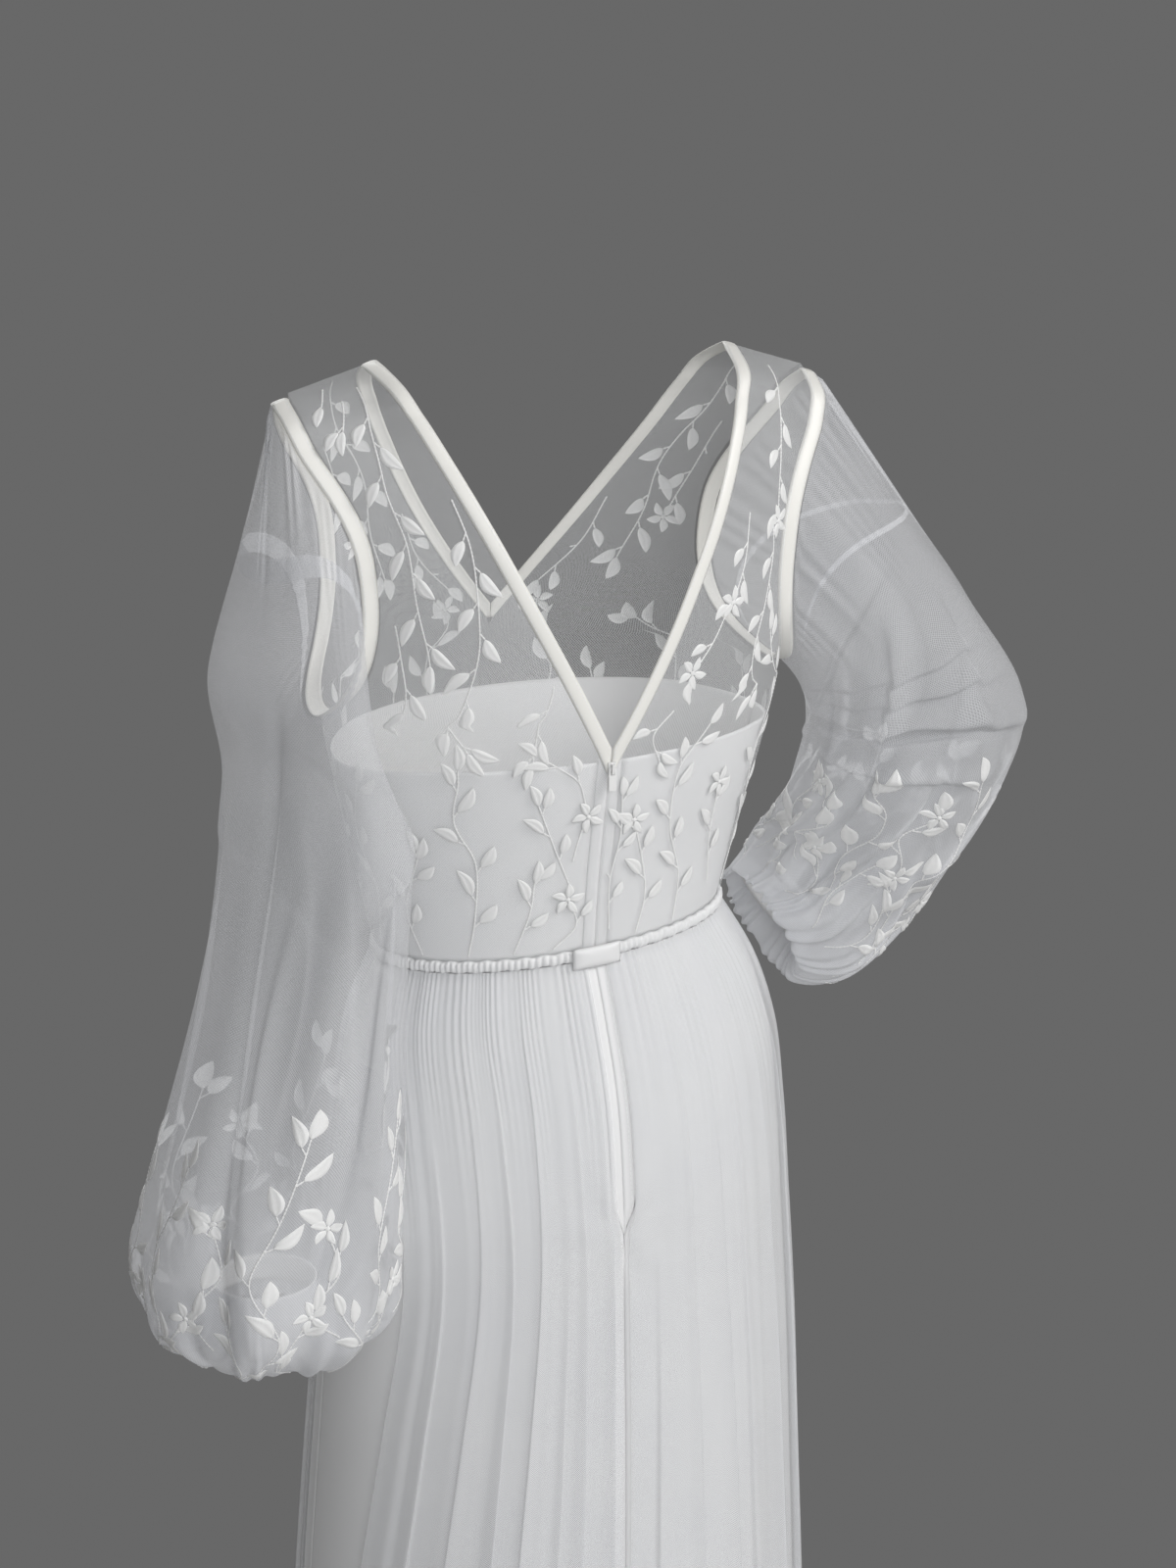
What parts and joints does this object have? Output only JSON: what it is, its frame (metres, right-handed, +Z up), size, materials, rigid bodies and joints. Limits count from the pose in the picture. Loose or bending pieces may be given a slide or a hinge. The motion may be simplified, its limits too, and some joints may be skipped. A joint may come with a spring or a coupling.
{
  "type": "wedding dress",
  "caption": "Floor-length wedding dress of embroidered net over satin, with a deep V back and front, full gathered sleeves, a centre back zip and a gathered skirt, in its worn form.",
  "frame": {"origin": "midway between the two shoulder seams, where the wearer's shoulders hold the dress", "axes": "+Z up, +X to the wearer's left, +Y behind the wearer"},
  "size_m": [0.6479, 0.3622, 1.4402],
  "materials": {
    "net": "sheer white net with raised white embroidery",
    "sleeve_net": "sheer white net, embroidered towards the cuffs",
    "satin": "smooth white satin",
    "binding": "ivory satin bias strip",
    "zip": "white lacquer"
  },
  "bodies": {
    "dress": {"armhole_binding_left": "binding", "armhole_binding_right": "binding", "bodice_back_left": "net", "bodice_back_right": "net", "bodice_front": "net", "cuff_left": "satin", "cuff_right": "satin", "lining_back_left": "satin", "lining_back_right": "satin", "lining_front": "satin", "neck_binding_left": "binding", "neck_binding_right": "binding", "skirt_net_back_left": "net", "skirt_net_back_right": "net", "skirt_net_front": "net", "skirt_satin_back_left": "satin", "skirt_satin_back_right": "satin", "skirt_satin_front": "satin", "sleeve_cap_left": "sleeve_net", "sleeve_cap_right": "sleeve_net", "sleeve_left": "sleeve_net", "sleeve_right": "sleeve_net", "waist_tab": "satin", "waist_tape": "net", "zip_slider": "zip", "zip_tape_left": "binding", "zip_tape_right": "binding"},
    "pull": {"zip_pull": "zip"}
  },
  "joints": [
    {"name": "pull_swing", "type": "hinge", "parent": "dress", "child": "pull", "pos_m": [0.0014, 0.10026, -0.25183], "axis": [1, 0, 0], "range_deg": [0, 165]}
  ]
}
